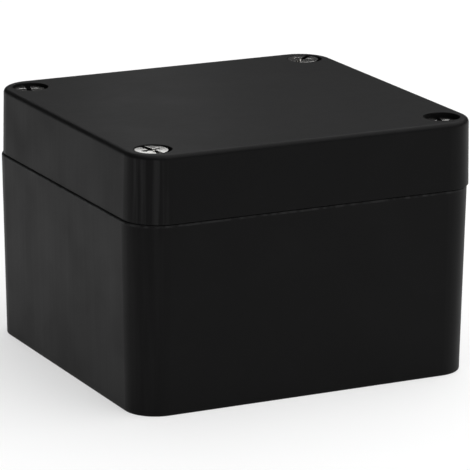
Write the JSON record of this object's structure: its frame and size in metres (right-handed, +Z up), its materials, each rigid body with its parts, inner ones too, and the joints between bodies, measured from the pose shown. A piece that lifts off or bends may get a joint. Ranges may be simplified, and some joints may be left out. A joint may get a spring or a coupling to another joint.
{
  "type": "plastic project box",
  "caption": "Black moulded project box with a deep screwed lid, rubber seal, captive corner screws, brass threaded inserts and hidden wall fixing holes.",
  "frame": {"origin": "centre of the underside of the base", "axes": "+X to the right along the front face, +Y to the back, +Z up out of the lid"},
  "size_m": [0.0803, 0.0761, 0.0555],
  "materials": {
    "black_plastic": "satin moulded",
    "seal_rubber": "matte",
    "screw_steel": "turned",
    "insert_brass": "turned"
  },
  "bodies": {
    "base": {"base": "black_plastic", "pillar_insert_front_left": "insert_brass", "pillar_insert_front_right": "insert_brass", "pillar_insert_back_left": "insert_brass", "pillar_insert_back_right": "insert_brass", "floor_insert_front_left": "insert_brass", "floor_insert_front_right": "insert_brass", "floor_insert_back_left": "insert_brass", "floor_insert_back_right": "insert_brass"},
    "lid": {"lid": "black_plastic", "gasket": "seal_rubber"},
    "screw_front_left": {"lid_screw_front_left": "screw_steel"},
    "screw_front_right": {"lid_screw_front_right": "screw_steel"},
    "screw_back_left": {"lid_screw_back_left": "screw_steel"},
    "screw_back_right": {"lid_screw_back_right": "screw_steel"}
  },
  "joints": [
    {"name": "lid_lift", "type": "slide", "parent": "base", "child": "lid", "axis": [0, 0, 1], "range_m": [0, 0.04]},
    {"name": "screw_front_left_turn", "type": "hinge", "parent": "lid", "child": "screw_front_left", "pos_m": [-0.0337, -0.0313, 0.0515], "axis": [0, 0, 1], "continuous": true},
    {"name": "screw_front_right_turn", "type": "hinge", "parent": "lid", "child": "screw_front_right", "pos_m": [0.0337, -0.0313, 0.0515], "axis": [0, 0, 1], "continuous": true},
    {"name": "screw_back_left_turn", "type": "hinge", "parent": "lid", "child": "screw_back_left", "pos_m": [-0.0337, 0.0313, 0.0515], "axis": [0, 0, 1], "continuous": true},
    {"name": "screw_back_right_turn", "type": "hinge", "parent": "lid", "child": "screw_back_right", "pos_m": [0.0337, 0.0313, 0.0515], "axis": [0, 0, 1], "continuous": true}
  ]
}
